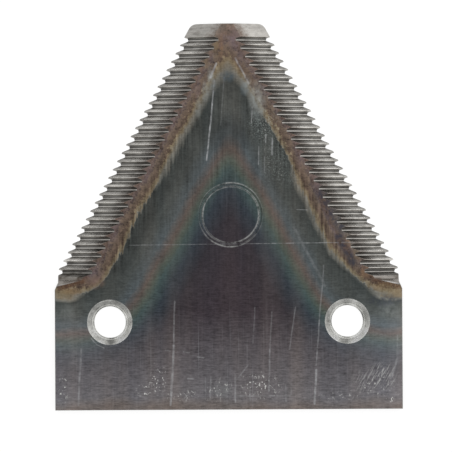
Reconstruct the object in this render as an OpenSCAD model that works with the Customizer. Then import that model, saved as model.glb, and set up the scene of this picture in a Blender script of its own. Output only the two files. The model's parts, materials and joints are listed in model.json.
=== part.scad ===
// Serrated sickle section for a mower's cutter bar.
// One flat blade, blanked from sheet steel: a straight heel that is riveted to the knife back, and two
// sloping cutting edges that are bevelled from above and serrated with grooves parallel to the heel.
// The origin is midway between the rivet holes on the underside, with +Y towards the tip and +Z up.

/* [Plate] */
// Length from the heel to the tip
blade_length = 82.55; // [70:0.05:100]
// Width across the straight sides
blade_width = 74.3; // [66:0.1:84]
// Thickness of the sheet
thickness = 2.66; // [1.8:0.01:3.4]
// Width of the blunt tip, measured to where the sloping edges meet its line
tip_width = 15.3; // [14:0.1:24]
// Radius of the two tip corners
tip_corner_r = 1.9; // [0.5:0.1:3]
// Height of the straight sides above the heel
side_height = 25.75; // [22:0.05:30]
// How far the neck above each side steps in
neck_step = 0.65; // [0.2:0.05:1.5]
// Height of the slope that leads from the side in to the neck
neck_slope_height = 1.5; // [0.5:0.1:2.5]
// Height of the straight neck, up to the foot of the cutting edge
neck_height = 2.65; // [1:0.05:6]

/* [Rivet holes] */
// Distance between the two hole centres
hole_spacing = 50.8; // [40:0.1:58]
// Distance from the heel to the line of the holes
hole_from_heel = 18.8; // [12:0.1:21]
// Diameter of each hole
hole_d = 6.75; // [5:0.05:9]
// Diameter of the countersink at the top face
countersink_d = 9.55; // [8:0.05:11]
// Included angle of the countersink
countersink_angle = 90; // [82:1:120]

/* [Cutting edges] */
// Angle between the bevel and the underside
bevel_angle = 25; // [18:0.5:32]
// Thickness left at the points of the ridges
edge_land = 0.1; // [0.05:0.01:0.3]
// Height of the bevel's lower end above the top of the neck's slope
bevel_above_slope = 0.55; // [0:0.05:2]
// Lean of the wall where the bevel runs out at its lower end
runout_angle = 32; // [5:1:45]

/* [Serrations] */
// Distance from one groove to the next, along the length of the blade
groove_pitch = 1.773; // [1.5:0.001:3]
// Depth of the grooves below the bevel
groove_depth = 0.53; // [0.45:0.01:0.8]
// Width of the flat land on each ridge
ridge_land_w = 0.16; // [0.05:0.01:0.4]
// Width of the steep flank on the heel side of a ridge
steep_flank_w = 0.3; // [0.15:0.01:0.5]
// Drop of that flank below the land
steep_flank_drop = 0.4; // [0.2:0.01:0.48]
// Width of the scoop that leads from the steep flank down to the floor
scoop_w = 0.42; // [0.2:0.01:0.6]
// Width of the flat floor of each groove
groove_floor_w = 0.16; // [0.05:0.01:0.4]
// Distance from the tip to the middle of the first groove's floor
first_groove_from_tip = 3.6; // [2.5:0.01:6]
// Least plain bevel left below the last groove
plain_bevel_min = 0.5; // [0.2:0.1:3]

/* [Struck ring] */
// Outer diameter of the ring struck in the top face
ring_d = 13.5; // [8:0.1:18]
// Width of the ring's groove
ring_w = 0.7; // [0.3:0.05:1.5]
// Depth of the ring's groove
ring_depth = 0.15; // [0.05:0.01:0.4]
// Distance from the line of the holes to the middle of the ring
ring_from_holes = 22.85; // [18:0.05:30]
// How far off the centre line the ring was struck
ring_offset = 0.55; // [-2:0.05:2]

/* [Hidden] */
$fn = 96;

// Overlap of a cut past the face that it opens
cut_over = 0.5;

// Outline, as half widths from the centre line and heights from the line of the holes
heel_y = -hole_from_heel;
tip_y = blade_length - hole_from_heel;
side_x = blade_width / 2;
side_y = heel_y + side_height;
neck_x = side_x - neck_step;
slope_y = side_y + neck_slope_height;
edge_foot_y = slope_y + neck_height;
tip_x = tip_width / 2;

// Lean of the cutting edge away from the centre line
edge_lean = atan2(neck_x - tip_x, tip_y - edge_foot_y);

// Arc that rounds the tip's right corner, from where it leaves the cutting edge to the tip's flat
corner_centre = [tip_x - tip_corner_r * tan((90 - edge_lean) / 2), tip_y - tip_corner_r];
corner_steps = 8;
corner_arc = [
    for (i = [0 : corner_steps])
        let (turn = edge_lean + (90 - edge_lean) * i / corner_steps)
        corner_centre + tip_corner_r * [cos(turn), sin(turn)]
];

// Right-hand side of the blank from the heel to the tip, and the left-hand side back down
right_side = concat(
    [
        [side_x, heel_y],
        [side_x, side_y],
        [neck_x, slope_y],
        [neck_x, edge_foot_y]
    ],
    corner_arc
);
left_side = [for (i = [len(right_side) - 1 : -1 : 0]) [-right_side[i][0], right_side[i][1]]];

// Rise of the grooves, which climb the bevel square to the centre line
groove_rise = atan(tan(bevel_angle) * cos(edge_lean));

// One groove's section as [distance up the blade from the middle of its floor, depth], from the point
// of the ridge above it, across the floor and up the gentle flank of the ridge below it
gentle_flank_w = groove_pitch - ridge_land_w - steep_flank_w - scoop_w - groove_floor_w;
half_floor = groove_floor_w / 2;
groove = [
    [half_floor + scoop_w + steep_flank_w, 0],
    [half_floor + scoop_w, steep_flank_drop],
    [half_floor, groove_depth],
    [-half_floor, groove_depth],
    [-half_floor - gentle_flank_w, 0]
];

// Grooves along one edge, counted down from the tip
first_groove_y = tip_y - first_groove_from_tip;
bevel_foot_y = slope_y + bevel_above_slope;
last_groove_min_y = bevel_foot_y + plain_bevel_min + gentle_flank_w + half_floor;
groove_count = 1 + floor((first_groove_y - last_groove_min_y) / groove_pitch);

// Reach of the bevel cutter from the foot of the edge, clear of the plate on every side
cutter_reach = blade_width;

countersink_depth = (countersink_d - hole_d) / 2 / tan(countersink_angle / 2);

// Level of the bevel, seen along the grooves, at a height on the blade
function bevel_level(y) = (edge_foot_y - y) * sin(groove_rise) * tan(edge_lean);

module blank() {
    linear_extrude(height = thickness)
        polygon(concat(right_side, left_side));
}

// Section of the form cutter: x is the height on the blade and y stands out of the bevel
module cutter_section() {
    far_level = bevel_level(bevel_foot_y) + cutter_reach;
    past_tip_y = tip_y + cut_over;
    polygon(concat(
        [
            [bevel_foot_y, bevel_level(bevel_foot_y)],
            [bevel_foot_y - cutter_reach * tan(runout_angle), far_level],
            [past_tip_y, far_level],
            [past_tip_y, bevel_level(past_tip_y)]
        ],
        [for (i = [0 : groove_count - 1], p = groove)
            let (y = first_groove_y - i * groove_pitch + p[0])
            [y, bevel_level(y) - p[1]]]
    ));
}

// The cutter on the right-hand edge, pushed through along the grooves
module edge_cutter() {
    translate([neck_x, 0, edge_land])
        rotate([0, groove_rise, 0])
            rotate([90, 0, 90])
                linear_extrude(height = 2 * cutter_reach, center = true)
                    cutter_section();
}

// Rivet hole with the countersink that takes the rivet's head flush with the top face
module rivet_hole() {
    translate([0, 0, -cut_over])
        cylinder(d = hole_d, h = thickness + 2 * cut_over);
    translate([0, 0, thickness - countersink_depth])
        cylinder(d1 = hole_d, d2 = countersink_d, h = countersink_depth);
    translate([0, 0, thickness])
        cylinder(d = countersink_d, h = cut_over);
}

// V-shaped groove of the struck ring, cut from above the top face
module struck_ring() {
    ring_r = (ring_d - ring_w) / 2;
    half_mouth = ring_w / 2 * (1 + cut_over / ring_depth);
    translate([ring_offset, ring_from_holes, thickness])
        rotate_extrude()
            polygon([
                [ring_r, -ring_depth],
                [ring_r + half_mouth, cut_over],
                [ring_r - half_mouth, cut_over]
            ]);
}

module blade() {
    color("dimgray")
        difference() {
            blank();
            edge_cutter();
            mirror([1, 0, 0]) edge_cutter();
            for (side = [-1, 1])
                translate([side * hole_spacing / 2, 0, 0]) rivet_hole();
            struck_ring();
        }
}

blade();
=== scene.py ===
import json
import math
from functools import partial

import bmesh
import bpy
from mathutils import Matrix, Vector


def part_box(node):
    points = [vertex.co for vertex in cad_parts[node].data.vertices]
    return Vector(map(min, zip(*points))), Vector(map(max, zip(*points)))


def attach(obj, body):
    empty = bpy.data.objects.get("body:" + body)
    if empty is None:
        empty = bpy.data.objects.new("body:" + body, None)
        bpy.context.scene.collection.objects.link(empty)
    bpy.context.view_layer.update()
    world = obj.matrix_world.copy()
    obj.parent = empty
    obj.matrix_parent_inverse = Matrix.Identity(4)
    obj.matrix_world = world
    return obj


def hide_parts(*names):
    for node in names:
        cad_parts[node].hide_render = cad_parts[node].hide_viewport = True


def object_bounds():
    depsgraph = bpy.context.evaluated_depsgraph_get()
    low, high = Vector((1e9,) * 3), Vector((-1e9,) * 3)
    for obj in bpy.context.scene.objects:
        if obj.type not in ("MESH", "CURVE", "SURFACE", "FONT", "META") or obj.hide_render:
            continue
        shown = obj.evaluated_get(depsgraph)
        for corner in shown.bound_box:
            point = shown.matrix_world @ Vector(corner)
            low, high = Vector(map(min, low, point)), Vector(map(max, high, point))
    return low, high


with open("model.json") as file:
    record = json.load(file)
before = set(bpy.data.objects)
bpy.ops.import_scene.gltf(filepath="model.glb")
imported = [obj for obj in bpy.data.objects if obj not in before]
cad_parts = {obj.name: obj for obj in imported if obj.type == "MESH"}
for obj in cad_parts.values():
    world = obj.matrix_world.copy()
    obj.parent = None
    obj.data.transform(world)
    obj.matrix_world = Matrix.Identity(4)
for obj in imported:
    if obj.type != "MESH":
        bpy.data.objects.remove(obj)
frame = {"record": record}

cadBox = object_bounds()
mm = 0.001  # sizes below are in millimetres, the scene is in metres

# Kinds of node and of sum that both the blade's shape and the materials use
maths, vectors = "ShaderNodeMath", "ShaderNodeVectorMath"
joinXyz, splitXyz = "ShaderNodeCombineXYZ", "ShaderNodeSeparateXYZ"
mapRange, noise, mix = "ShaderNodeMapRange", "ShaderNodeTexNoise", "ShaderNodeMix"
plus, minus, times, divided, timesPlus = "ADD", "SUBTRACT", "MULTIPLY", "DIVIDE", "MULTIPLY_ADD"


def hexToLinear(code):
    parts = [int(code[i:i + 2], 16) / 255 for i in (1, 3, 5)]
    return (*(c / 12.92 if c <= 0.04045 else ((c + 0.055) / 1.055) ** 2.4 for c in parts), 1.0)


# Inputs are values, nodes or sockets, in the order that the node shows them or by name
def setInputs(node, inputs):
    shown = [socket for socket in node.inputs if socket.enabled]
    named = {socket.name: socket for socket in shown}
    for key, value in inputs.items() if isinstance(inputs, dict) else enumerate(inputs):
        socket = named[key] if isinstance(key, str) else shown[key]
        if isinstance(value, bpy.types.Node):
            value = next(output for output in value.outputs if output.enabled)
        if isinstance(value, bpy.types.NodeSocket):
            node.id_data.links.new(value, socket)
        else:
            socket.default_value = value


def addNode(tree, kind, inputs=(), operation=None, **settings):
    node = tree.nodes.new(kind)
    if operation:
        node.operation = operation
    for name, value in settings.items():
        setattr(node, name, value)
    setInputs(node, inputs)
    return node


# Sizes of the blade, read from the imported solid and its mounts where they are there
bladeLow, bladeHigh = (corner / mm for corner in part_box("blade"))
rivetHoles = next(m for m in frame["record"]["mounts"] if m["name"] == "rivet_holes")["dims"]
bladeSizes = {
    "sideHeight": 25.75,
    "neckStep": 0.65,
    "neckSlope": 1.5,
    "neckHeight": 2.65,
    "tipWidth": 15.3,
    "tipCorner": 1.9,
    "bevelAngle": 25,
    "edgeLand": 0.1,
    "bevelAboveSlope": 0.55,
    "runoutAngle": 32,
    "groovePitch": 1.773,
    "grooveDepth": 0.53,
    "grooveCount": 29,
    "firstGroove": 3.6,  # tip to the first groove's floor
    "ridgeToFloor": 0.8,  # point of a ridge to the floor below it
    "countersink": 9.55,
    "countersinkRim": 0.06,  # depth of the burnished rim round each countersink
    "ringDiameter": 12.8,
    "ringWidth": 0.7,
    "ringDepth": 0.15,
    "ringX": 0.55,
    "ringY": 22.85,
    "edgeRadius": 0.09,
    "toothSpread": 0.05,  # share by which one groove's depth differs from the next
    "toothWear": 0.16,  # most that a point is worn back
    "idsApart": 100,  # so that the two edges draw and wear differently
    "wearApart": 40,
    "wearPerMm": 0.45,  # worn places for each mm of edge
    "wearRange": (0.4, 0.75),  # share of the wear's noise at which it starts, and at which it is full
    "rowStep": 0.06,
    "holeSides": 128,
    "ringSides": 160,
    "noseSides": 32,
    "cutOver": 0.4,  # how far the tools run past the face that they open
    "flatFacing": 0.985,  # how far up or down the normal of a rolled face points, at least
    "upFacing": 0.1,  # and how far up that of the bevel does
    "levelFacing": 0.9999,  # past this a face is shaded flat
    "footMargin": 1.0,  # mm past the bevel's foot, the holes and the ring within which a face is theirs
    "holeMargin": 0.3,
    "ringMargin": 1.0,
    "sliver": 0.002,  # widest face that is cleared away
    "sharpAngle": 28,
    "seed": 11,
}
# One groove from the ridge's point down to the next: share of the pitch, share of the depth
grooveShape = ((0, 0), (0.165, 0.745), (0.405, 1), (0.497, 1), (0.91, 0), (1, 0))


def bladeInputs(sizes):
    heelY, tipY, sideX, thickness = bladeLow.y, bladeHigh.y, bladeHigh.x, bladeHigh.z
    sideY = heelY + sizes["sideHeight"]
    slopeY = sideY + sizes["neckSlope"]
    neckX = sideX - sizes["neckStep"]
    edgeFootY = slopeY + sizes["neckHeight"]
    tipX = sizes["tipWidth"] / 2
    lean = math.atan2(neckX - tipX, tipY - edgeFootY)
    rise = math.atan(math.tan(math.radians(sizes["bevelAngle"])) * math.cos(lean))
    cornerR = sizes["tipCorner"]
    rows = round((tipY - heelY) / sizes["rowStep"]) + 1
    ringLift = ((sizes["ringWidth"] / 2) ** 2 + sizes["ringDepth"] ** 2) / 2 / sizes["ringDepth"]
    return {
        "Heel Y": heelY,
        "Tip Y": tipY,
        "Side X": sideX,
        "Side Y": sideY,
        "Neck X": neckX,
        "Slope Y": slopeY,
        "Tip X": tipX,
        "Edge Lean": math.tan(lean),
        "Corner Radius": cornerR,
        "Corner X": tipX - cornerR * math.tan(math.pi / 4 - lean / 2),
        "Corner Y": tipY - cornerR,
        "Corner Start Y": tipY - cornerR + cornerR * math.sin(lean),
        "Thickness": thickness,
        "Edge Land": sizes["edgeLand"],
        "Bevel Rise": math.tan(rise),
        "Bevel Foot Y": slopeY + sizes["bevelAboveSlope"],
        "Runout": 1 / math.tan(math.radians(sizes["runoutAngle"])) / math.sin(rise) - math.tan(lean),
        "First Ridge Y": tipY - sizes["firstGroove"] + sizes["ridgeToFloor"],
        "Groove Pitch": sizes["groovePitch"],
        "Groove Count": float(sizes["grooveCount"]),
        "Groove Reach": sizes["grooveDepth"] / math.sin(rise),
        "Tooth Spread": sizes["toothSpread"],
        "Tooth Wear": sizes["toothWear"],
        "Edge Radius": sizes["edgeRadius"],
        "Row Step": (tipY - heelY) / (rows - 1),
        "Rows": rows + 2,
        "Seed": sizes["seed"],
        "Hole Spacing": rivetHoles["spacing_x_mm"],
        "Hole Radius": rivetHoles["hole_r_mm"],
        "Countersink Radius": sizes["countersink"] / 2,
        "Ring Radius": sizes["ringDiameter"] / 2,
        "Ring Tool Radius": ringLift,
        "Ring Centre": Vector((sizes["ringX"], sizes["ringY"], thickness + ringLift - sizes["ringDepth"])),
    }


# The plate is lofted from sections square to its centre line. Each section has six corners a side:
# two round the lower edge, the foot of the bevel, and three round the bevel's upper edge.
def addPlate(rule, size, sizes):
    corners = 12  # of a section, with the grid's seam along the underside
    grid = rule("GeometryNodeMeshGrid", [1.0, 1.0, corners + 1, size["Rows"]])
    place = rule(splitXyz, [rule("GeometryNodeInputPosition")]).outputs
    column = rule(maths, [rule(maths, [place["X"], corners, 1.5 * corners - 1], timesPlus)], "ROUND")
    column = rule(maths, [column, corners], "MODULO")
    corner = rule(maths, [column, rule(maths, [corners - 1, column], minus)], "MINIMUM")
    side = rule(maths, [rule(maths, [column, (corners - 1) / 2], minus)], "SIGN")

    # Height on the blade; the first and last rows close the ends
    firstY = rule(maths, [size["Heel Y"], size["Row Step"]], minus)
    lastY = rule(maths, [size["Tip Y"], size["Row Step"]], plus)
    rowY = rule(mapRange, [place["Y"], -0.5, 0.5, firstY, lastY], clamp=False)
    y = rule("ShaderNodeClamp", [rowY, size["Heel Y"], size["Tip Y"]])

    # Outline of the blank
    edgeX = rule(maths, [rule(maths, [size["Tip Y"], y], minus), size["Edge Lean"], size["Tip X"]], timesPlus)
    sideX = rule(mapRange, [y, size["Slope Y"], size["Side Y"], size["Neck X"], size["Side X"]])
    arcY = rule(maths, [rule(maths, [y, size["Corner Y"]], minus), 2.0], "POWER")
    arcX = rule(maths, [rule(maths, [size["Corner Radius"], 2.0], "POWER"), arcY], minus)
    arcX = rule(maths, [rule(maths, [arcX, 0.0], "MAXIMUM")], "SQRT")
    arcX = rule(maths, [arcX, size["Corner X"]], plus)
    belowArc = rule(maths, [y, size["Corner Start Y"]], "LESS_THAN")
    arcX = rule(maths, [belowArc, size["Side X"], arcX], timesPlus)
    outX = rule(maths, [rule(maths, [edgeX, sideX], "MINIMUM"), arcX], "MINIMUM")

    # Reach of the bevel, cut back by the grooves and by wear
    pitches = rule(maths, [rule(maths, [size["First Ridge Y"], y], minus), size["Groove Pitch"]], divided)
    serrated = rule(maths, [rule(maths, [pitches, 0.0], "GREATER_THAN"),
                            rule(maths, [pitches, size["Groove Count"]], "LESS_THAN")], times)
    groove = rule("ShaderNodeFloatCurve", {"Value": rule(maths, [pitches], "FRACT")})
    curve = groove.mapping.curves[0]
    for share, depth in grooveShape[1:-1]:
        curve.points.new(share, depth)
    for point, (share, depth) in zip(curve.points, grooveShape):
        point.location = (share, depth)
        point.handle_type = "VECTOR"
    groove.mapping.update()
    toothId = rule(maths, [side, sizes["idsApart"], rule(maths, [pitches], "FLOOR")], timesPlus)
    toothId = rule("FunctionNodeFloatToInt", [toothId])
    spread = rule("FunctionNodeRandomValue", {"Min": -1.0, "Max": 1.0, "ID": toothId, "Seed": size["Seed"]})
    depth = rule(maths, [spread, size["Tooth Spread"], 1.0], timesPlus)
    depth = rule(maths, [rule(maths, [depth, size["Groove Reach"]], times),
                         rule(maths, [groove, serrated], times)], times)
    along = rule(maths, [side, sizes["wearApart"], rule(maths, [y, size["Seed"]], plus)], timesPlus)
    wear = rule(noise, {"W": along, "Scale": sizes["wearPerMm"], "Detail": 1.0}, noise_dimensions="1D")
    wear = rule(mapRange, [wear, *sizes["wearRange"], 0.0, size["Tooth Wear"]])
    runout = rule(maths, [rule(maths, [size["Bevel Foot Y"], y], minus), 0.0], "MAXIMUM")
    cutX = rule(maths, [rule(maths, [edgeX, depth], minus), wear], minus)
    cutX = rule(maths, [runout, size["Runout"], cutX], timesPlus)

    # Upper face, dropped a little where it rounds over at the heel and the tip
    fromEnd = rule(maths, [rule(maths, [y, size["Heel Y"]], minus),
                           rule(maths, [size["Tip Y"], y], minus)], "MINIMUM")
    endDrop = rule(maths, [1.0, rule(maths, [fromEnd, size["Edge Radius"]], divided)], minus)
    endDrop = rule(maths, [rule(maths, [endDrop, 0.0], "MAXIMUM"), 2.0], "POWER")
    endDrop = rule(maths, [endDrop, size["Edge Radius"]], times)
    topZ = rule(maths, [size["Thickness"], endDrop], minus)

    # Corners of the section
    landX = rule(maths, [size["Edge Land"], size["Bevel Rise"]], divided)
    footX = rule(maths, [outX, rule(maths, [cutX, landX], plus)], "MINIMUM")
    footZ = rule(maths, [rule(maths, [cutX, footX], minus), size["Bevel Rise"], size["Edge Land"]], timesPlus)
    wallTop = rule(maths, [size["Edge Radius"], -2.0, topZ], timesPlus)
    footZ = rule("ShaderNodeClamp", [footZ, 0.0, wallTop])
    bevelRun = rule(maths, [rule(maths, [topZ, size["Edge Land"]], minus), size["Bevel Rise"]], divided)
    topX = rule(maths, [outX, rule(maths, [cutX, bevelRun], minus)], "MINIMUM")
    foot = rule(joinXyz, {"X": footX, "Z": footZ})
    top = rule(joinXyz, {"X": topX, "Z": topZ})
    slope = rule(vectors, [foot, top], minus)
    length = rule(vectors, [slope], "LENGTH")
    radius = rule(maths, [size["Edge Radius"], rule(maths, [length, 0.5], times)], "MINIMUM")
    slope = rule(vectors, [slope], "NORMALIZE")
    onBevel = rule(vectors, [slope, radius], "SCALE")
    onBevel = rule(vectors, [top, onBevel], plus)
    onTop = rule(vectors, [top, rule(joinXyz, [radius])], minus)
    between = rule(mix, [0.5, onBevel, onTop], data_type="VECTOR")
    between = rule(mix, [0.5, between, top], data_type="VECTOR")
    lowRadius = rule(maths, [size["Edge Radius"], rule(maths, [footZ, 0.5], times)], "MINIMUM")
    onWall = rule(joinXyz, {"X": footX, "Z": lowRadius})
    onBase = rule(joinXyz, [rule(maths, [footX, lowRadius], minus)])
    section = rule("GeometryNodeIndexSwitch", data_type="VECTOR")
    for _ in range(corners // 2 - len(section.index_switch_items)):
        section.index_switch_items.new()
    setInputs(section, [corner, onBase, onWall, foot, onBevel, between, onTop])
    mirrored = rule(vectors, [section, rule(joinXyz, [side, 1.0, 1.0])], times)
    lofted = rule(vectors, [mirrored, rule(joinXyz, {"Y": y})], plus)
    pastEnd = rule(maths, [rule(maths, [rowY, y], minus)], "ABSOLUTE")
    pastEnd = rule(maths, [pastEnd, rule(maths, [size["Row Step"], 0.5], times)], "GREATER_THAN")
    endMiddle = rule(joinXyz, {"Y": y, "Z": rule(maths, [size["Thickness"], 0.5], times)})
    lofted = rule("GeometryNodeSwitch", [pastEnd, lofted, endMiddle], input_type="VECTOR")
    plate = rule("GeometryNodeSetPosition", {"Geometry": grid, "Position": lofted})
    plate = rule("GeometryNodeMergeByDistance", {"Geometry": plate, "Distance": sizes["sliver"]})
    return rule("GeometryNodeSetMaterial", {"Geometry": plate, "Material": size["Rolled"]})


# Tools of the countersunk rivet holes: drill, countersink and the flatter rim, on two points
def addHoleTools(rule, size, sizes):
    clear = rule(maths, [size["Thickness"], 3.0], times)  # past both faces
    drill = rule("GeometryNodeMeshCylinder", {
        "Vertices": sizes["holeSides"],
        "Radius": size["Hole Radius"],
        "Depth": clear,
    })
    tool = rule("GeometryNodeMeshBoolean", [drill], "UNION", solver="MANIFOLD")
    sinkDepth = rule(maths, [size["Countersink Radius"], size["Hole Radius"]], minus)
    over = sizes["cutOver"]
    for depth, flare in ((sinkDepth, over), (sizes["countersinkRim"], 2 * over)):
        cone = rule("GeometryNodeMeshCone", {
            "Vertices": sizes["holeSides"],
            "Radius Bottom": rule(maths, [size["Countersink Radius"], depth], minus),
            "Radius Top": rule(maths, [size["Countersink Radius"], flare], plus),
            "Depth": rule(maths, [depth, over], plus),
        })
        coneZ = rule(maths, [size["Thickness"], depth], minus)
        cone = rule("GeometryNodeTransform", {"Geometry": cone, "Translation": rule(joinXyz, {"Z": coneZ})})
        setInputs(tool, [cone])
    tool = rule("GeometryNodeSetMaterial", {"Geometry": tool, "Material": size["Turned"]})
    firstHole = rule(maths, [size["Hole Spacing"], -0.5], times)
    holes = rule("GeometryNodeMeshLine", {
        "Count": 2,
        "Start Location": rule(joinXyz, [firstHole]),
        "Offset": rule(joinXyz, [size["Hole Spacing"]]),
    })
    holes = rule("GeometryNodeInstanceOnPoints", {"Points": holes, "Instance": tool})
    return rule("GeometryNodeRealizeInstances", [holes])


# Round-nosed tool of the struck ring
def addRingTool(rule, size, sizes):
    circle = "GeometryNodeCurvePrimitiveCircle"
    ringPath = rule(circle, {"Resolution": sizes["ringSides"], "Radius": size["Ring Radius"]})
    ringNose = rule(circle, {"Resolution": sizes["noseSides"], "Radius": size["Ring Tool Radius"]})
    ring = rule("GeometryNodeCurveToMesh", {"Curve": ringPath, "Profile Curve": ringNose})
    ring = rule("GeometryNodeTransform", {"Geometry": ring, "Translation": size["Ring Centre"]})
    return rule("GeometryNodeSetMaterial", {"Geometry": ring, "Material": size["Rolled"]})


# Bevel and outline, told from the rolled faces by how they lean and from the holes and ring by place
def addFinishes(rule, size, sizes, cut):
    facing = rule(splitXyz, [rule("GeometryNodeInputNormal")]).outputs["Z"]
    facePlace = rule("GeometryNodeInputPosition")
    faceX, faceY, _ = rule(splitXyz, [facePlace]).outputs
    leaning = rule(maths, [rule(maths, [facing], "ABSOLUTE"), sizes["flatFacing"]], "LESS_THAN")
    upper = rule(maths, [rule(maths, [facing, sizes["upFacing"]], "GREATER_THAN"), leaning], times)
    edgeFromY = rule(maths, [size["Bevel Foot Y"], sizes["footMargin"]], minus)
    onEdge = rule(maths, [faceY, edgeFromY], "GREATER_THAN")
    halfSpacing = rule(maths, [size["Hole Spacing"], 0.5], times)
    holeX = rule(maths, [rule(maths, [faceX], "ABSOLUTE"), halfSpacing], minus)
    fromHole = rule(vectors, [rule(joinXyz, [holeX, faceY])], "LENGTH")
    holeReach = rule(maths, [size["Countersink Radius"], sizes["holeMargin"]], plus)
    offHole = rule(maths, [fromHole, holeReach], "GREATER_THAN")
    fromRing = rule(vectors, [facePlace, size["Ring Centre"]], "DISTANCE")
    ringReach = rule(maths, [size["Ring Radius"], sizes["ringMargin"]], plus)
    offRing = rule(maths, [fromRing, ringReach], "GREATER_THAN")
    clearOfCuts = rule(maths, [offHole, offRing], times)
    sheared = rule(maths, [leaning, clearOfCuts], times)
    ground = rule(maths, [rule(maths, [upper, onEdge], times), clearOfCuts], times)
    for name, faces in (("Sheared", sheared), ("Ground", ground)):
        cut = rule("GeometryNodeSetMaterial", [cut, faces, size[name]])
    return cut


def makeBladeTree(inputs, sizes):
    socketKinds = {float: "Float", int: "Int", Vector: "Vector", bpy.types.Material: "Material"}
    tree = bpy.data.node_groups.new("serratedBlade", "GeometryNodeTree")
    tree.interface.new_socket("Blade", in_out="OUTPUT", socket_type="NodeSocketGeometry")
    for name, value in inputs.items():
        tree.interface.new_socket(name, in_out="INPUT", socket_type="NodeSocket" + socketKinds[type(value)])
    rule = partial(addNode, tree)
    size = rule("NodeGroupInput").outputs
    plate = addPlate(rule, size, sizes)
    cut = rule("GeometryNodeMeshBoolean", {"Mesh 1": plate}, "DIFFERENCE", solver="MANIFOLD")
    for addTool in (addHoleTools, addRingTool):
        setInputs(cut, {"Mesh 2": addTool(rule, size, sizes)})
    cut = rule("GeometryNodeRealizeInstances", [cut])
    rule("NodeGroupOutput", [addFinishes(rule, size, sizes, cut)])
    return tree


def makeBlade(inputs, sizes):
    tree = makeBladeTree(inputs, sizes)
    maker = bpy.data.objects.new("bladeMaker", bpy.data.meshes.new("bladeMaker"))
    bpy.context.scene.collection.objects.link(maker)
    modifier = maker.modifiers.new("serratedBlade", "NODES")
    modifier.node_group = tree
    for socket in tree.interface.items_tree:
        if socket.in_out == "INPUT":
            modifier[socket.identifier] = inputs[socket.name]
    depsgraph = bpy.context.evaluated_depsgraph_get()
    mesh = bpy.data.meshes.new_from_object(maker.evaluated_get(depsgraph), depsgraph=depsgraph)
    maker.modifiers.remove(modifier)
    bpy.data.objects.remove(maker)
    mesh.name = "sickleBlade"
    mesh.materials.pop(index=0)  # an empty slot that the cutting leaves
    clean = bmesh.new()
    clean.from_mesh(mesh)
    bmesh.ops.dissolve_degenerate(clean, dist=sizes["sliver"], edges=clean.edges)
    clean.to_mesh(mesh)
    clean.free()
    mesh.transform(Matrix.Scale(mm, 4))
    mesh.set_sharp_from_angle(angle=math.radians(sizes["sharpAngle"]))
    for face in mesh.polygons:
        face.use_smooth = abs(face.normal.z) < sizes["levelFacing"]  # the rolled faces stay flat
    blade = bpy.data.objects.new("sickleBlade", mesh)
    bpy.context.scene.collection.objects.link(blade)
    return blade


# Noise of a given size in mm along X, Y and Z, centred on zero
def addPatterns(add, place, patterns):
    made = {}
    for name, (sizes, detail) in patterns.items():
        stretched = add(vectors, [place, [1 / s for s in sizes]], times)
        pattern = add(noise, {"Vector": stretched, "Scale": 1.0, "Detail": detail, "Roughness": 0.6})
        made[name] = add(maths, [pattern, 0.5], minus)
    return made


# Every finish on the blade is bare or oxidised steel, drawn in millimetres on Object coordinates
def startSteel(name, look):
    material = bpy.data.materials.new(name)
    material.use_nodes = True
    shader = material.node_tree.nodes["Principled BSDF"]
    setInputs(shader, {"Metallic": 1.0})
    add = partial(addNode, material.node_tree)
    place = add(vectors, [add("ShaderNodeTexCoord").outputs["Object"], 1 / mm], "SCALE")
    given = addPatterns(add, place, look["patterns"])
    given["x"], given["y"], given["z"] = add(splitXyz, [place]).outputs
    return material, shader, add, place, given


def finishSteel(add, shader, look, colour, roughBy, height):
    roughness = add(maths, [roughBy, *look["roughness"]], timesPlus, use_clamp=True)
    bump = add("ShaderNodeBump", {"Strength": 0.5, "Distance": look["bumpDepth"] * mm, "Height": height})
    setInputs(shader, {"Base Color": colour, "Roughness": roughness, "Normal": bump})


def setStops(ramp, stops):
    elements = ramp.color_ramp.elements
    for number, (position, colour) in enumerate(stops):
        stop = elements[number] if number < 2 else elements.new(position)
        stop.position = position
        stop.color = colour


# Sum of fades, each the product of its ramps. A ramp is what it follows, from, to, and its value at either.
def addFades(add, given, fades):
    total = None
    for ramps in fades:
        fade = None
        for follows, *ends in ramps:
            ramp = add(mapRange, [given[follows], *ends])
            fade = ramp if fade is None else add(maths, [fade, ramp], times)
        total = fade if total is None else add(maths, [total, fade], plus)
    return total


# Adds patterns to a level, each as strongly as its gain or its fades say
def addTones(add, given, tones, level):
    for name, gain in tones:
        strength = addFades(add, given, gain) if isinstance(gain, list) else gain
        level = add(maths, [given[name], strength, level], timesPlus)
    return level


# Distance in mm from the line along each cutting edge that was heated to harden it
heatLine = {
    "start": (34.2, 15.3),
    "end": (bladeSizes["tipWidth"] / 2, bladeHigh.y),
    "reach": 90,  # the heat ran on past the tip
    "centreX": 0.2,  # the heat was a little off the centre line
    "apexSoftness": ((58, 1.5), (36, 1.8), (26, 0.8)),  # height, mm in which the heats blend
}


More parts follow.
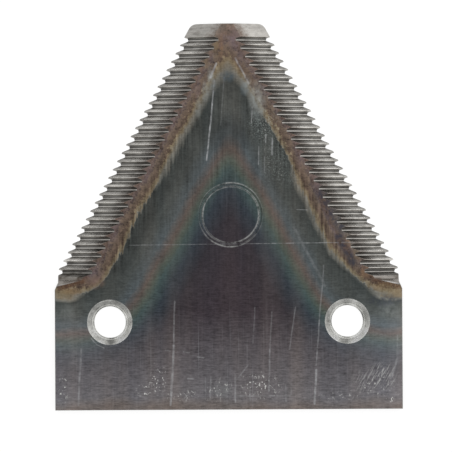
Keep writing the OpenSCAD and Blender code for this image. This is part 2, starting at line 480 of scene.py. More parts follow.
def makeHeatGroup(heat):
    tree = bpy.data.node_groups.new("heatDistance", "ShaderNodeTree")
    tree.interface.new_socket("Place", in_out="INPUT", socket_type="NodeSocketVector")
    tree.interface.new_socket("Distance", in_out="OUTPUT", socket_type="NodeSocketFloat")
    add = partial(addNode, tree)
    x, y, _ = add(splitXyz, [add("NodeGroupInput").outputs["Place"]]).outputs
    (highY, highSoft), (apexY, apexSoft), (lowY, lowSoft) = heat["apexSoftness"]
    soft = add(maths, [add(mapRange, [y, highY, apexY, highSoft, apexSoft]),
                       add(mapRange, [y, lowY, apexY, lowSoft, apexSoft])], "MINIMUM")
    x = add(maths, [x, heat["centreX"]], minus)
    awayX = add(maths, [soft, soft, add(maths, [x, x], times)], timesPlus)
    awayX = add(maths, [awayX], "SQRT")
    start = Vector((*heat["start"], 0))
    along = (Vector((*heat["end"], 0)) - start).normalized()
    fromStart = add(vectors, [add(joinXyz, [awayX, y]), start], minus)
    run = add(vectors, [fromStart, along], "DOT_PRODUCT")
    run = add("ShaderNodeClamp", [run, 0, heat["reach"]])
    nearest = add(vectors, [along, run], "SCALE")
    distance = add(vectors, [fromStart, nearest], "DISTANCE")
    add("NodeGroupOutput", [distance])
    return tree


markCore = 0.35  # share of a mark's width that is solid


# One mark on the face. X and Y of the place pass through, and Z carries the strongest mark so far, so that
# a row of these groups is worked through one at a time: all at once is more than Cycles can hold.
def makeMarkGroup(name, sizes, addDistance):
    tree = bpy.data.node_groups.new(name, "ShaderNodeTree")
    for socket, kind in (("Place", "Vector"), *sizes, ("Strength", "Float")):
        tree.interface.new_socket(socket, in_out="INPUT", socket_type="NodeSocket" + kind)
    tree.interface.new_socket("Place", in_out="OUTPUT", socket_type="NodeSocketVector")
    add = partial(addNode, tree)
    given = add("NodeGroupInput").outputs
    flat = add(vectors, [given["Place"], (1, 1, 0)], times)
    mask = add(mapRange, [addDistance(add, flat, given), 1, markCore, 0, given["Strength"]])
    soFar = add(vectors, [given["Place"], (0, 0, 1)], "DOT_PRODUCT")
    mask = add(maths, [mask, soFar], "MAXIMUM")
    add("NodeGroupOutput", [add(vectors, [flat, add(joinXyz, {"Z": mask})], plus)])
    return tree


# Distance from a scratch's line, as a share of its width
def fromScratch(add, flat, given):
    fromStart = add(vectors, [flat, given["Start"]], minus)
    along = add(vectors, [given["End"], given["Start"]], minus)
    run = add(vectors, [fromStart, along], "DOT_PRODUCT")
    square = add(vectors, [along, along], "DOT_PRODUCT")
    run = add(maths, [run, square], divided, use_clamp=True)
    nearest = add(vectors, [along, run], "SCALE")
    distance = add(vectors, [fromStart, nearest], "DISTANCE")
    return add(maths, [distance, given["Width"]], divided)


# Distance from a patch's middle, as a share of its size
def fromPatch(add, flat, given):
    offset = add(vectors, [flat, given["Middle"]], minus)
    offset = add(vectors, [offset, given["Half Size"]], divided)
    return add(vectors, [offset], "LENGTH")


heatGroup = makeHeatGroup(heatLine)
scratchSizes = (("Start", "Vector"), ("End", "Vector"), ("Width", "Float"))
scratchGroup = makeMarkGroup("scratch", scratchSizes, fromScratch)
patchGroup = makeMarkGroup("patch", (("Middle", "Vector"), ("Half Size", "Vector")), fromPatch)

# Cold-rolled spring steel, hardened along the edges: a thin oxide film runs through the temper colours
# away from the heat, brown and straw by the teeth, then grey, blue, red-brown, green and dark violet.
rolledLook = {
    "temperColours": (  # mm from the heated line
        (4, "#777069"), (6.3, "#66564d"),  # brown
        (6.9, "#5d5251"), (7.4, "#675a4f"), (8.4, "#5a4c43"),  # purple in it, then dark brown
        (9, "#746854"), (9.9, "#6f6d66"),  # straw, pale at its edge
        (11.1, "#3e413f"), (14, "#4b4e4c"), (16.4, "#52585a"),  # grey, bluer and lighter further in
        (18, "#5c534e"), (19.4, "#4f564f"), (20.4, "#445150"),  # red-brown, green and teal
        (22.5, "#393f45"), (26, "#393539"), (31, "#3f383c"),  # dark blue and violet
    ),
    "rampReach": 32,
    "tipSkew": (-3, 3, -6, 4),  # the film flakes higher up on the left: x from, to, mm added to y
    "filmTones": [  # what makes the film's bands ragged, in mm: flakes most where straw turns grey
        ("flakes", [[("heat", 10.5, 13, 2.8, 0.3), ("heat", 8.4, 9.8, 0.3, 1),
                     ("skewedY", 38, 26, 0.15, 1), ("y", 10, 15, 0.1, 1)]]),
        ("mottle", [[("heat", 8.2, 9.4, 2.8, 0.9)]]),
        ("specks", [[("heat", 8, 9, 2.4, 0.3)]]),
        ("drift", 2),
    ],
    "filmShifts": [  # straw reaches further in low down on the right, and is wider at the lower corners
        [("x", 6, 22, 0, -1.7), ("y", 34, 22, 0, 1), ("y", 9, 17, 0, 1), ("heat", 12, 15, 1, 0)],
        [("heat", 9.4, 10.2, 0, -0.8), ("heat", 10.6, 11.4, 1, 0),
         ("farX", 29, 33, 0, 1), ("y", 12, 8.5, 0, 1)],
        [("heat", 7, 9.3, 1.4, 0), ("farX", 29, 33, 0, 1), ("y", 12, 8.5, 0, 1)],
    ],
    "paleEdge": [[("film", 9.4, 9.6, 0, 1.4), ("film", 11.5, 14, 1, 0)]],  # mm by which the film skips it
    "paleEdgeLost": [  # where it is missing: low down on the left, and in two stretches on the right
        [("driftedY", 34, 26, 0, 1), ("x", -33.5, -30.5, 0, 1), ("x", 0, 3, 1, 0)],
        [("y", 31, 35, 0, 1), ("y", 46, 42, 0, 1), ("x", 29, 32, 1, 0.25), ("x", 0, 3, 0, 1)],
        [("y", 14, 10, 0.2, 0.8), ("x", 29, 32, 1, 0.25), ("x", 0, 3, 0, 1)],
    ],
    "lostDrift": 30,  # how far the drift moves the end of that stretch on the left
    "bare": "#6d6a6c",  # steel that stayed cold and lost its film to handling
    "worn": [[("y", 2.5, -17.3, 0, 1)]],  # where it shows, towards the heel
    "wornColumns": 0.3,
    "heel": "#6e6560",  # brown stain along the heel
    "stained": [[("heelY", -16.2, -18.2, 0, 0.8)]],
    "heelDrift": 4,
    "columnTint": 0.18,  # columns left by the rolls, warm against cold
    "paintedLightAndPaler": [  # painted light at the sides by the heel, stronger on the right, and paler at the brown film near the tip
        [("farX", 26, 36, 0, 0.5), ("y", 8, 4, 0, 1), ("y", -3, -10, 1, 0.45), ("x", -20, 20, 0.7, 1.2)],
        [("y", 24, 50, 0, 0.14), ("heat", 8.4, 9.2, 1, 0)],
    ],
    "tones": [  # light and dark from each pattern
        ("grain", [[("heat", 8, 10.5, 1, 0.7)]]),
        ("clouds", 0.35),
        ("wrinkles", [[("y", 14, 1, 0.5, 1.25)]]),
        ("specks", [[("heat", 8, 9, 1.5, 0.15)]]),
        ("columns", 0.18),
        ("streaks", [[("y", 12, 42, 0.4, 1.1), ("heat", 10.5, 12, 0, 1)],
                     [("fromStraw", 2.2, 0.8, 0, 2), ("y", 9, 13, 0.3, 1), ("y", 40, 48, 1, 0.3)]]),
        ("mottle", [[("heat", 8, 10, 2.1, 0.45)]]),
    ],
    "strawMiddle": 9.7,
    "patterns": {  # mm across, mm along the roll, mm deep; octaves
        "flakes": ((0.6, 3.2, 1), 2),
        "mottle": ((0.9, 1.1, 1), 3),
        "drift": ((9, 14, 9), 1),
        "grain": ((0.5, 0.3, 1), 2),  # drawn coarser than the 0.1 mm grain
        "clouds": ((2.4, 4, 3), 2),
        "streaks": ((0.4, 9, 1), 2),  # real roll lines are finer than a pixel
        "specks": ((0.24, 0.28, 1), 2),
        "nicks": ((0.4, 0.6, 1), 3),
        "wrinkles": ((1.5, 0.26, 1), 2),
        "hairlines": ((0.15, 18, 1), 1),
        "dashes": ((2, 0.15, 1), 1),
        "columns": ((4.5, 60, 5), 1),
    },
    "nicked": [[("nicks", 0.1, 0.18, 0, 1)]],  # how sharply the nicks and the hatching are cut
    "hatched": [[("strokes", 0.02, 0.16, 0, 0.8)]],
    "stroke": ((0.2, 1.8, 1), 1),
    "strokeAngle": 27,
    "wobble": 0.8,  # bends the marks with the drift
    "roughness": (0.25, 0.37),  # share of the grain, middle
    "bumpDepth": 0.015,
}

# Marks on the upper face, in the order that they were made. Scratches have a start, an end, a width and a
# strength; patches have a middle, half sizes and a strength. Each kind is broken up by a pattern.
faceMarks = {
    "soot": {"colour": "#151515", "brokenBy": ("drift", 1, 0.9), "scratches": (
        ((-23, 11.5), (-13.5, 29), 2, 0.3),
    ), "patches": (
        ((0.3, 40.2), (7.5, 5), 0.44), ((-8.5, 33), (3, 6), 0.18), ((9.5, 30), (2.5, 5), 0.18),
    )},
    "ochre": {"colour": "#826040", "brokenBy": ("mottle", 3, 0.6), "patches": (
        ((25.3, 16.8), (1, 2.8), 0.55), ((29.4, 10.6), (1.8, 1.8), 0.45), ((32.5, 7.3), (2.2, 1), 0.3),
        ((-33.4, 6.6), (2.6, 1), 0.45), ((-28.4, 8.6), (2.4, 1.8), 0.35), ((-1.6, 58.8), (1, 2.6), 0.4),
        ((20.6, 25.4), (1.2, 2.6), 0.4),
    )},
    "blueing": {"colour": "#3f5462", "brokenBy": ("mottle", 2.4, 0.7), "patches": (
        ((0.1, 52.4), (2, 1.5), 0.5), ((3.7, 49.8), (1.2, 1.8), 0.35), ((-2.9, 50.4), (0.7, 2), 0.4),
    )},
    "violet": {"colour": "#73656a", "brokenBy": ("mottle", 2.4, 0.7), "patches": (
        ((1.5, 60.2), (1.8, 3.2), 0.6), ((2.6, 56.6), (1.2, 2.2), 0.4), ((-6.2, 49.4), (0.9, 2.4), 0.35),
        ((15.4, 36.6), (1.4, 4.6), 0.45), ((19, 30), (1.4, 3.6), 0.45), ((-28.6, 9.6), (2.4, 2.8), 0.4),
        ((-17.6, 32.4), (1.2, 3.4), 0.35), ((-24.4, 19.6), (1.2, 3), 0.4), ((-11.6, 43.4), (1, 3), 0.3),
    )},
    "straw": {"colour": "#7f7054", "brokenBy": ("mottle", 2.4, 0.7), "patches": (
        ((-2.5, 58.8), (1, 2.8), 0.55), ((-4.6, 55.4), (0.8, 1.8), 0.4), ((33.6, 7.1), (2.6, 1.4), 0.45),
        ((-34.6, 6.2), (2.4, 1.2), 0.4), ((27.4, 14.2), (1, 2.4), 0.4),
    )},
    "stain": {"colour": "#30343f", "brokenBy": ("mottle", 4, 0.7), "scratches": (
        ((20, 27.6), (24.2, 20), 2, 0.8), ((23.6, 18), (26.6, 12.6), 1.3, 0.8),
    ), "patches": (
        ((33.4, 4.3), (4.6, 1.6), 0.7),
    )},
    "rust": {"colour": "#53331f", "brokenBy": ("mottle", 2.6, 0.75), "scratches": (
        ((31.2, 8.75), (36.2, 7.25), 0.7, 0.4), ((-31.2, 8.75), (-36.2, 7.25), 0.7, 0.55),
    ), "patches": (
        ((30.9, 9.6), (1.3, 1), 0.4), ((-30.9, 9.6), (1.3, 1), 0.5), ((33.4, 7.5), (1.6, 0.6), 0.2),
    )},
    "haze": {"colour": "#8d918f", "brokenBy": ("mottle", 2.4, 0.6), "patches": (
        ((6.4, 47.2), (2.4, 4.8), 0.7), ((4, 50.6), (1.4, 2.6), 0.55), ((-1.6, -14.6), (3, 2.2), 0.28),
        ((34.8, 2.4), (3.4, 2.6), 0.4), ((-34.6, 2.4), (2.6, 2), 0.22), ((-3.6, 52.4), (0.9, 2.6), 0.75),
        ((-4.7, 49.4), (0.9, 2.6), 0.7), ((-6.2, 45.8), (0.8, 2.8), 0.45),
    )},
    "speckle": {"colour": "#8f9894", "brokenBy": ("specks", 5, -0.1), "patches": (
        ((7.6, 42), (4.4, 5), 0.6), ((10.4, 34), (4.4, 6.4), 0.4), ((12.6, 31), (3, 3.4), 0.3),
    )},
    "scratches": {"colour": "#acadaf", "brokenBy": ("mottle", 2.6, 0.62), "scratches": (
        ((-21.3, 16.45), (6, 16.65), 0.13, 0.3), ((6, 16.65), (28.8, 16.85), 0.14, 0.42),
        ((-2.75, 51.6), (-3.2, 47), 0.2, 0.5), ((-3.2, 47), (-4.6, 34.5), 0.22, 0.75),
        ((-0.75, 52.2), (-1.5, 42), 0.16, 0.2), ((9.55, 39.2), (9.5, 35.6), 0.22, 0.6),
        ((8.05, 39.9), (8, 38.2), 0.18, 0.5), ((6.55, 37.4), (6.5, 33.6), 0.18, 0.45),
        ((7.8, 35.2), (7.9, 31.8), 0.18, 0.3), ((14.7, 23.9), (16.9, 23.8), 0.14, 0.45),
        ((5.2, 45.8), (5, 42.4), 0.16, 0.4),
        ((-11.5, 4.4), (-11.9, -5), 0.24, 0.3), ((-11.9, -5), (-12.6, -17.7), 0.34, 0.5),
        ((-31.5, -5.7), (-32.2, -17.7), 0.3, 0.36),
        ((-3.9, -11.8), (-4.2, -16.7), 0.22, 0.3), ((-5, -12), (-5.1, -16.5), 0.18, 0.22),
        ((20.3, 11.9), (19.4, 0.3), 0.2, 0.3), ((19.4, 0.3), (18.7, -9.4), 0.2, 0.42),
        ((18.7, -10.4), (18.3, -17.6), 0.32, 0.6),
        ((9.3, 2), (8.9, -6), 0.2, 0.22), ((8.9, -6), (8.6, -14.9), 0.24, 0.34),
        ((14.5, 3), (13.2, -6), 0.2, 0.25), ((5.5, 3), (5.25, -4.6), 0.18, 0.2),
        ((1.4, -11.4), (1.4, -17.2), 0.26, 0.42), ((4.2, -9.4), (1.6, -12.6), 0.2, 0.28),
        ((1.2, -15.9), (13.2, -15.9), 0.18, 0.28), ((4.6, -14), (4.6, -16.9), 0.2, 0.26),
        ((12.3, -13.6), (12.3, -17.2), 0.2, 0.26), ((13.5, -13), (13.4, -15.6), 0.2, 0.22),
        ((-9.8, -6.4), (-8.6, -6.6), 0.2, 0.34), ((-6.8, -7.5), (-5.4, -7.7), 0.22, 0.42),
        ((-13.6, -6), (-12.6, -6.2), 0.2, 0.3), ((-8.9, -12.1), (-7.6, -12.2), 0.22, 0.34),
        ((36.1, -3.1), (35.9, -8.2), 0.26, 0.3), ((35.9, -8.2), (34.5, -12.3), 0.34, 0.42),
        ((-29.4, -3.4), (-28.2, -4.7), 0.18, 0.5), ((-28.2, -4.7), (-26.6, -5.5), 0.18, 0.4),
        ((1.6, 56.3), (4.6, 50.8), 0.26, 0.5), ((4.6, 50.8), (7.4, 46.4), 0.26, 0.25),
        ((-2.4, 55.2), (-3.6, 52.2), 0.3, 0.6), ((14, 20.2), (20.5, 7.6), 0.4, 0.16),
    )},
    "hairlines": {"colour": "#a4a5a8", "brokenBy": ("hairlines", 5, -0.75), "patches": (
        ((0, -8), (44, 16), 0.4), ((2, 34), (9, 16), 0.3),
    )},
    "dashes": {"colour": "#a9aaac", "brokenBy": ("dashes", 5, -0.85), "patches": (
        ((-8, -10), (14, 7), 0.45), ((14, -12), (16, 6), 0.35), ((8, 38), (5, 6), 0.3),
    )},
    "scuffs": {"colour": "#dcdcd8", "brokenBy": ("nicks", 1, 0), "patches": (
        ((-35.3, -14.4), (1.4, 4), 1), ((-18.2, -14.4), (2, 2), 1), ((-15.2, -12.2), (2.2, 4.6), 0.9),
        ((7, -13.7), (6, 3.4), 0.8), ((7.4, 41.8), (3.8, 4.2), 0.2), ((34.6, -16.4), (2.2, 1.6), 0.9),
        ((-2.4, -14.6), (4, 3), 0.6), ((8.8, 36.4), (3, 5.4), 0.15), ((-10, -15.6), (6, 1.8), 0.5),
        ((11.6, 32.4), (2.4, 2.8), 0.2), ((24, -16), (6, 1.6), 0.4), ((31.5, -13.6), (5, 3.2), 0.6),
    )},
    "hatching": {"colour": "#b9b9b7", "brokenBy": ("hatch", 1, 0), "patches": (
        ((32.8, -11.6), (3.8, 3.6), 0.8), ((29, -13), (3.2, 3), 0.45),
    )},
}

# Lips of the struck ring, burnished and with painted highlights that change round the ring: mm from the
# groove's middle, width, strength across the blade and along it
ringLipBurnishAndHighlights = {
    "colour": "#b3b4b2",
    "lips": ((-0.34, 0.3, 0.95, 0.5), (0.4, 0.28, 0.1, 0.75)),
    "brokenBy": ("mottle", 3, 0.6),
}


# Shows a mark's colour on the upper face, where its mask is and a pattern leaves it
def coverWith(add, given, mark, mask, colour):
    name, gain, offset = mark["brokenBy"]
    broken = add(maths, [given[name], gain, offset], timesPlus, use_clamp=True)
    mask = add(maths, [mask, broken], times)
    mask = add(maths, [mask, given["upper"]], times)
    return add(mix, [mask, colour, hexToLinear(mark["colour"])], data_type="RGBA")


def makeRolledSteel(look, marks, ring, sizes):
    material, shader, add, place, given = startSteel("temperedSpringSteel", look)
    x, y = given["x"], given["y"]
    heat = add("ShaderNodeGroup", [place], node_tree=heatGroup)
    given["heat"] = heat
    given["farX"] = add(maths, [x], "ABSOLUTE")

    # The oxide film, with its bands shifted and broken off in flakes along the roll
    given["skewedY"] = add(maths, [add(mapRange, [x, *look["tipSkew"]]), y], plus)
    film = addTones(add, given, look["filmTones"], heat)
    film = add(maths, [film, addFades(add, given, look["filmShifts"])], plus)
    given["film"] = film
    given["driftedY"] = add(maths, [given["drift"], look["lostDrift"], y], timesPlus)
    lost = addFades(add, given, look["paleEdgeLost"])
    film = add(maths, [addFades(add, given, look["paleEdge"]), lost, film], timesPlus)
    reach = look["rampReach"]
    colour = add("ShaderNodeValToRGB", [add(maths, [film, reach], divided)])
    setStops(colour, [(distance / reach, hexToLinear(code)) for distance, code in look["temperColours"]])

    # Worn paler towards the heel, with a brown stain along it
    worn = addFades(add, given, look["worn"])
    worn = add(maths, [given["columns"], look["wornColumns"], worn], timesPlus, use_clamp=True)
    colour = add(mix, [worn, colour, hexToLinear(look["bare"])], data_type="RGBA")
    given["heelY"] = add(maths, [given["drift"], look["heelDrift"], y], timesPlus)
    stained = addFades(add, given, look["stained"])
    colour = add(mix, [stained, colour, hexToLinear(look["heel"])], data_type="RGBA")

    # Columns left by the rolls, then painted light at the sides by the heel and the light and dark of every
    # pattern
    warm = add(maths, [given["columns"], look["columnTint"], 1], timesPlus)
    cold = add(maths, [given["columns"], -look["columnTint"], 1], timesPlus)
    colour = add(vectors, [colour, add(joinXyz, [warm, 1, cold])], times)
    given["fromStraw"] = add(maths, [add(maths, [heat, look["strawMiddle"]], minus)], "ABSOLUTE")
    level = addTones(add, given, look["tones"], addFades(add, given, look["paintedLightAndPaler"]))
    colour = add(vectors, [colour, add(maths, [level, 1], plus)], "SCALE")

    # Patterns that break the marks up
    given["nicks"] = addFades(add, given, look["nicked"])
    turned = add("ShaderNodeVectorRotate", {"Vector": place, "Angle": math.radians(look["strokeAngle"])},
                 rotation_type="Z_AXIS")
    strokes = addPatterns(add, turned, {"strokes": look["stroke"]})
    given["hatch"] = addFades(add, strokes, look["hatched"])

    # Each kind of mark in turn shows another colour
    wobble = add(vectors, [add(joinXyz, [given["drift"]]), look["wobble"]], "SCALE")
    flatPlace = add(vectors, [add(vectors, [place, wobble], plus), (1, 1, 0)], times)
    given["upper"] = add(maths, [given["z"], bladeHigh.z / 2], "GREATER_THAN")
    chain = flatPlace
    for kind in marks.values():
        chain = add(vectors, [chain, (1, 1, 0)], times)
        for start, end, width, strength in kind.get("scratches", ()):
            scratch = [chain, (*start, 0), (*end, 0), width, strength]
            chain = add("ShaderNodeGroup", scratch, node_tree=scratchGroup)
        for middle, halfSize, strength in kind.get("patches", ()):
            patch = [chain, (*middle, 0), (*halfSize, 1), strength]
            chain = add("ShaderNodeGroup", patch, node_tree=patchGroup)
        mask = add(vectors, [chain, (0, 0, 1)], "DOT_PRODUCT")
        colour = coverWith(add, given, kind, mask, colour)

    # Burnished lips of the struck ring with painted highlights, the inner one brightest at its sides
    fromRing = add(vectors, [flatPlace, (sizes["ringX"], sizes["ringY"], 0)], minus)
    ringX = add(splitXyz, [add(vectors, [fromRing], "NORMALIZE")]).outputs["X"]
    across = add(maths, [ringX, ringX], times)
    radius = add(vectors, [fromRing], "LENGTH")
    for offset, width, strengthAcross, strengthAlong in ring["lips"]:
        lip = add(maths, [radius, sizes["ringDiameter"] / 2 + offset], minus)
        strength = add(mapRange, [across, 0, 1, strengthAlong, strengthAcross])
        lip = add(mapRange, [add(maths, [lip], "ABSOLUTE"), width, 0, 0, strength])
        colour = coverWith(add, given, ring, lip, colour)

    finishSteel(add, shader, look, colour, given["grain"], given["grain"])
    return material


# Steel ground with a form wheel along each groove: rubbed crests and floors with painted highlights, streaked
# and duller flanks with painted shade, and brown film and grime left where the wheel ran out
groundLook = {
    "steel": "#dfdcd6",
    "plain": "#b7b4af",  # the stretch below the last groove and the cap, which the grooves leave alone
    "covers": (  # what lies on the steel, in order: grime, brown film, rust and a painted highlight along the lip at the run-out
        ("#5b554e", [[("grime", -0.02, 0.2, 0, 0.4)],
                     [("y", 12, 10, 0, 1), ("x", -1, 1, 0.6, 0.5)]]),
        ("#66564c", [[("chatteredHeat", 3.3, 5.5, 0, 0.9), ("rubbed", 0, 1, 1, 0),
                      ("y", 11, 13, 0.15, 1)]]),
        ("#4f382b", [[("fromRunout", 0.5, -0.1, 0, 1), ("farX", 33.4, 31.6, 0, 0.85)]]),
        # painted highlight along the top of the run-out wall, stronger on the right
        ("#c9c7c4", [[("fromRunout", 0.5, -0.1, 0, 1), ("farX", 32.6, 34, 0, 1),
                      ("x", -1, 1, 0.3, 0.8), ("fromTop", -0.5, -0.15, 0, 1)]]),
    ),
    "filmChatter": 3,  # how far chatter moves the film's edge
    "rubbed": [[("fromFloor", 0.12, 0.06, 0.3, 0.8)]],  # share of the film rubbed off, most on the floors
    "floorPlace": 0.43,
    "toothLightAndShade": (  # painted light and shade across a tooth: place from one ridge's point to the next, share of the light that it keeps
        (0, 0.85), (0.13, 0.6), (0.2, 0.25), (0.28, 0.05), (0.34, 0.2),  # down the steep flank
        (0.38, 0.6), (0.48, 0.6), (0.58, 0.2),  # across the floor
        (0.66, 0.5), (0.8, 0.5), (0.88, 1), (1, 0.9),  # up the gentle flank and over the crest
    ),
    "paintedToothHighlight": [[("heat", 0, 1.8, 0.68, 1.06), ("heat", 3, 5.6, 1, 0.86)]],  # painted highlight along the middle of each groove, painted shade at its ends
    "tones": (("wheelLines", 0.7), ("chatter", 0.2)),
    "patterns": {
        "wheelLines": ((10, 0.26, 1), 1),  # drawn coarser than the wheel's 0.05 mm grit
        "grime": ((2.6, 0.9, 1), 2),
        "chatter": ((0.6, 0.5, 1), 2),
    },
    "roughness": (0.3, 0.25),
    "bumpDepth": 0.01,
}


def makeGroundSteel(look, shape):
    material, shader, add, place, given = startSteel("wheelGroundSteel", look)
    y = given["y"]
    heat = add("ShaderNodeGroup", [place], node_tree=heatGroup)

    # Place on a tooth, counted from the first ridge
    teeth = add(maths, [add(maths, [shape["First Ridge Y"], y], minus), shape["Groove Pitch"]], divided)
    serrated = add(maths, [add(maths, [teeth, 0], "GREATER_THAN"),
                           add(maths, [teeth, shape["Groove Count"]], "LESS_THAN")], times)
    onTooth = add(maths, [teeth], "FRACT")
    # painted highlights on the crests and floors, painted shade down the flanks
    paintedToothShade = add("ShaderNodeValToRGB", [onTooth])
    setStops(paintedToothShade, [(position, (share, share, share, 1)) for position, share in look["toothLightAndShade"]])
    paintedToothShade = add(mix, [serrated, 1, paintedToothShade])

    fromFloor = add(maths, [onTooth, look["floorPlace"]], minus)
    given.update({
        "heat": heat,
        "farX": add(maths, [given["x"]], "ABSOLUTE"),
        "fromRunout": add(maths, [y, shape["Bevel Foot Y"]], minus),
        "fromTop": add(maths, [given["z"], bladeHigh.z], minus),
        "fromFloor": add(maths, [fromFloor], "ABSOLUTE"),
        "chatteredHeat": add(maths, [given["chatter"], look["filmChatter"], heat], timesPlus),
    })
    given["rubbed"] = add(maths, [serrated, addFades(add, given, look["rubbed"])], times)
    colour = add(mix, [serrated, hexToLinear(look["plain"]), hexToLinear(look["steel"])], data_type="RGBA")
    for code, fades in look["covers"]:
        colour = add(mix, [addFades(add, given, fades), colour, hexToLinear(code)], data_type="RGBA")
    level = add(maths, [addTones(add, given, look["tones"], 1), paintedToothShade], times)
    # painted highlight along each groove, darker at its ends
    paintedToothHighlight = add(mix, [serrated, 1, addFades(add, given, look["paintedToothHighlight"])])
    level = add(maths, [level, paintedToothHighlight], times)
    colour = add(vectors, [colour, level], "SCALE")
    finishSteel(add, shader, look, colour, given["wheelLines"], given["wheelLines"])
    return material


# Steel turned with a countersink: bright, in fine rings round each hole
turnedLook = {
    "steel": "#e8e8e4",
    "brightest": 0.98,
    "toolStep": 0.24,  # mm between the tool's rings, drawn coarser than the real 0.1
    "sectorScale": 1.1,  # painted reflection: bright and dull sectors round a hole, at random
    "paintedGlints": [[("slant", 0, -0.45, 0.76, 1.24)]],  # painted highlight, brighter on the two slants towards the heel
    "tones": (("rings", 0.9), ("patches", 1.3), ("paintedSheenSectors", 1.2), ("grit", 0.5)),
    "patterns": {"patches": ((2, 2, 2), 2), "grit": ((0.3, 0.3, 0.3), 1)},
    "roughness": (0.2, 0.42),
    "bumpDepth": 0.015,
}


def makeTurnedSteel(look):
    material, shader, add, _, given = startSteel("turnedSteel", look)
    x, y = given["x"], given["y"]
    fromHoleX = add(maths, [add(maths, [x], "ABSOLUTE"), rivetHoles["spacing_x_mm"] / 2], minus)
    radius = add(vectors, [add(joinXyz, [fromHoleX, y])], "LENGTH")
    whichHole = add(maths, [x], "SIGN")  # so that the two holes differ
    facing = add(vectors, [add(joinXyz, [fromHoleX, y, whichHole])], "NORMALIZE")
    facingX, facingY, _ = add(splitXyz, [facing]).outputs
    given["slant"] = add(maths, [add(maths, [facingX], "ABSOLUTE"), facingY], times)
    steps = add(maths, [radius, look["toolStep"]], divided)
    rings = add(noise, {"W": steps, "Scale": 1, "Detail": 1}, noise_dimensions="1D")
    # painted reflection in sectors round each hole
    paintedSheenSectors = add(noise, {"Vector": facing, "Scale": look["sectorScale"], "Detail": 1})
    given["rings"] = add(maths, [rings, 0.5], minus)
    given["paintedSheenSectors"] = add(maths, [paintedSheenSectors, 0.5], minus)
    # painted highlight on the slants towards the heel, then rings, patches, painted reflection sectors and
    # grit
    level = addTones(add, given, look["tones"], addFades(add, given, look["paintedGlints"]))
    colour = add(vectors, [hexToLinear(look["steel"])[:3], level], "SCALE")
    colour = add(vectors, [colour, [look["brightest"]] * 3], "MINIMUM")
    finishSteel(add, shader, look, colour, given["rings"], given["rings"])
    return material


# Blanked edge of the sheet: burnished near the top, where the punch sheared it, then a dull torn break
shearedLook = {
    "burnished": "#8c8a88",
    "torn": "#5c5a58",
    "tornBelow": [[("breakZ", 1.65, 1.35, 0, 1)]],
    "breakWander": 1.2,
    "tones": (("tears", 1),),
    "patterns": {"tears": ((0.35, 0.35, 3), 2), "break": ((1.6, 1.6, 1.6), 2)},
    "roughness": (0.25, 0.3),
    "bumpDepth": 0.07,
}


def makeShearedSteel(look):
    material, shader, add, _, given = startSteel("shearedSteel", look)
    given["breakZ"] = add(maths, [given["break"], look["breakWander"], given["z"]], timesPlus)
    torn = addFades(add, given, look["tornBelow"])
    colour = add(mix, [torn, hexToLinear(look["burnished"]), hexToLinear(look["torn"])], data_type="RGBA")
    colour = add(vectors, [colour, addTones(add, given, look["tones"], 1)], "SCALE")
    finishSteel(add, shader, look, colour, torn, given["tears"])
    return material


bladeShape = bladeInputs(bladeSizes)
bladeFinishes = {
    "Rolled": makeRolledSteel(rolledLook, faceMarks, ringLipBurnishAndHighlights, bladeSizes),
    "Sheared": makeShearedSteel(shearedLook),
    "Ground": makeGroundSteel(groundLook, bladeShape),
    "Turned": makeTurnedSteel(turnedLook),
}
print("finishes:", ", ".join(steel.name for steel in bladeFinishes.values()))
blade = makeBlade({**bladeShape, **bladeFinishes}, bladeSizes)
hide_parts("blade")
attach(blade, "root")
print("blade:", len(blade.data.polygons), "faces")

# Pale floor, in metres: white to the eye and in reflections, with a little real shading to hold a shadow
floorLook = {"reach": 2.0, "paint": "#8c8c8c", "glow": 0.84, "drop": 0.02 * mm}


def makeFloor(look):
    mesh = bpy.data.meshes.new("floor")
    r = look["reach"]
    z = bladeLow.z * mm - look["drop"]
    mesh.from_pydata([(-r, -r, z), (r, -r, z), (r, r, z), (-r, r, z)], [], [(0, 1, 2, 3)])
    floor = bpy.data.objects.new("floor", mesh)
    bpy.context.scene.collection.objects.link(floor)
    material = bpy.data.materials.new("paleFloor")
    material.use_nodes = True
    tree = material.node_tree
    tree.nodes.clear()
    add = partial(addNode, tree)
    rays = add("ShaderNodeLightPath").outputs
    seen = add(maths, [rays["Is Camera Ray"], rays["Is Glossy Ray"]], "MAXIMUM")
    seen = add(maths, [seen, rays["Is Transmission Ray"]], "MAXIMUM")
    glow = add(maths, [seen, look["glow"]], times)
    glow = add("ShaderNodeEmission", {"Strength": glow})
    paint = add("ShaderNodeBsdfDiffuse", {"Color": hexToLinear(look["paint"])})
    add("ShaderNodeOutputMaterial", [add("ShaderNodeAddShader", [glow, paint])])
    mesh.materials.append(material)


makeFloor(floorLook)

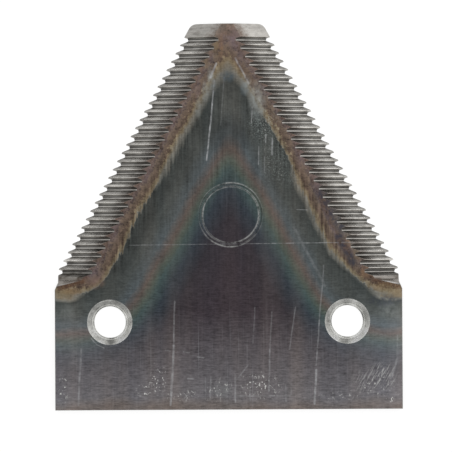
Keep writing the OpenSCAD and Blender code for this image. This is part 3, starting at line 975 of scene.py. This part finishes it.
# Soft box overhead: an even dome that darkens towards the horizon, and one broad lamp from the upper right
lightLook = {
    "dome": ((0.15, 0.08), (0.75, 0.96)),  # height of the direction, strength
    "lampPlace": (0.24, 0.12, 0.34),  # metres
    "lampSize": 0.36,
    "lampPower": 0.2,
}


def makeLight(look):
    world = bpy.data.worlds.new("softBox")
    bpy.context.scene.world = world
    world.use_nodes = True
    tree = world.node_tree
    tree.nodes.clear()
    add = partial(addNode, tree)
    up = add(splitXyz, [add("ShaderNodeTexCoord").outputs["Generated"]]).outputs["Z"]
    (lowZ, lowLight), (highZ, highLight) = look["dome"]
    strength = add(mapRange, [up, lowZ, highZ, lowLight, highLight])
    dome = add("ShaderNodeBackground", {"Color": (1, 1, 1, 1), "Strength": strength})
    add("ShaderNodeOutputWorld", [dome])
    lamp = bpy.data.lights.new("softLamp", "AREA")
    lamp.size = look["lampSize"]
    lamp.energy = look["lampPower"]
    holder = bpy.data.objects.new("softLamp", lamp)
    bpy.context.scene.collection.objects.link(holder)
    holder.location = look["lampPlace"]
    middle = Vector((0, sum(c.y for c in cadBox) / 2, 0))
    holder.rotation_euler = (middle - holder.location).to_track_quat("-Z", "Y").to_euler()


makeLight(lightLook)

# Straight down on the blade through a long lens, turned as little as the photograph is
cameraLook = {
    "lens": 250.0,
    "sensor": 36.0,
    "aim": (-0.46, 20.45),  # mm
    "span": 96.6,  # mm across the picture at the upper face
    "roll": 0.3,  # degrees
    "clipEnd": 10.0,
}


def makeCamera(look):
    data = bpy.data.cameras.new("camera")
    data.lens = look["lens"]
    data.sensor_width = look["sensor"]
    data.clip_end = look["clipEnd"]
    camera = bpy.data.objects.new("camera", data)
    bpy.context.scene.collection.objects.link(camera)
    away = look["span"] * look["lens"] / look["sensor"]
    camera.location = [c * mm for c in (*look["aim"], bladeHigh.z + away)]
    camera.rotation_euler.z = -math.radians(look["roll"])
    bpy.context.scene.camera = camera


makeCamera(cameraLook)
bpy.context.scene.view_settings.view_transform = "Standard"
print("floor, light and camera")
